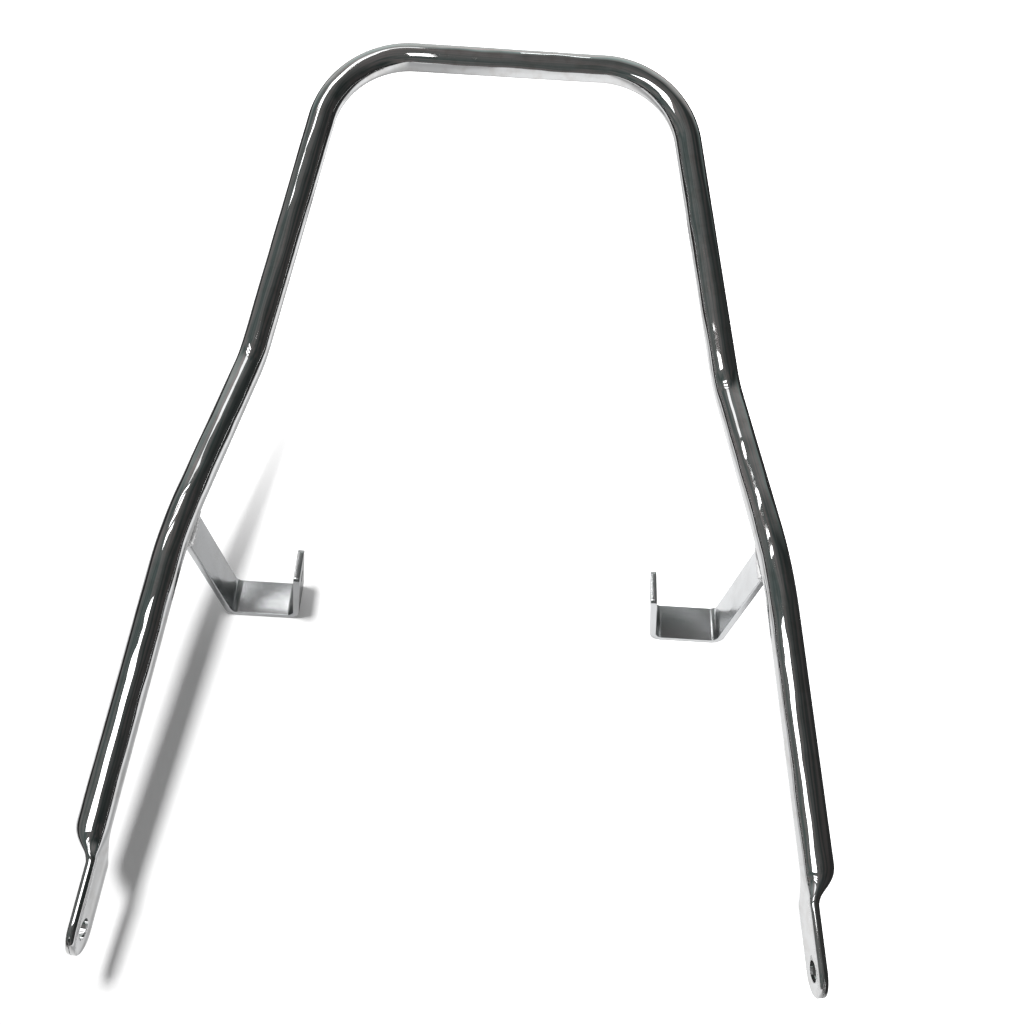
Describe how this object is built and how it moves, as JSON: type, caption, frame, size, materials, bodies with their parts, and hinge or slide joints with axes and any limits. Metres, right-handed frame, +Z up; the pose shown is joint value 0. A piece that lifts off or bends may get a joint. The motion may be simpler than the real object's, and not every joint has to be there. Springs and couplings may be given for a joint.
{
  "type": "moped grab bar",
  "caption": "Chromed bent-tube grab bar in an inverted U, with flattened drilled feet and welded flat-bar brackets under its legs.",
  "frame": {"origin": "midway between the two bracket plates, on the surface that they lie on", "axes": "+X across the moped to its right leg, +Y from the feet to the hand rail, +Z up from the bracket plates"},
  "size_m": [0.3084, 0.4378, 0.142],
  "materials": {
    "tube_chrome": "bright chrome plate",
    "bracket_steel": "satin plated flat bar",
    "weld_metal": "plated over, rippled"
  },
  "bodies": {
    "root": {"bent_tube": "tube_chrome", "left_bracket": "bracket_steel", "right_bracket": "bracket_steel", "left_weld": "weld_metal", "right_weld": "weld_metal"}
  },
  "joints": []
}
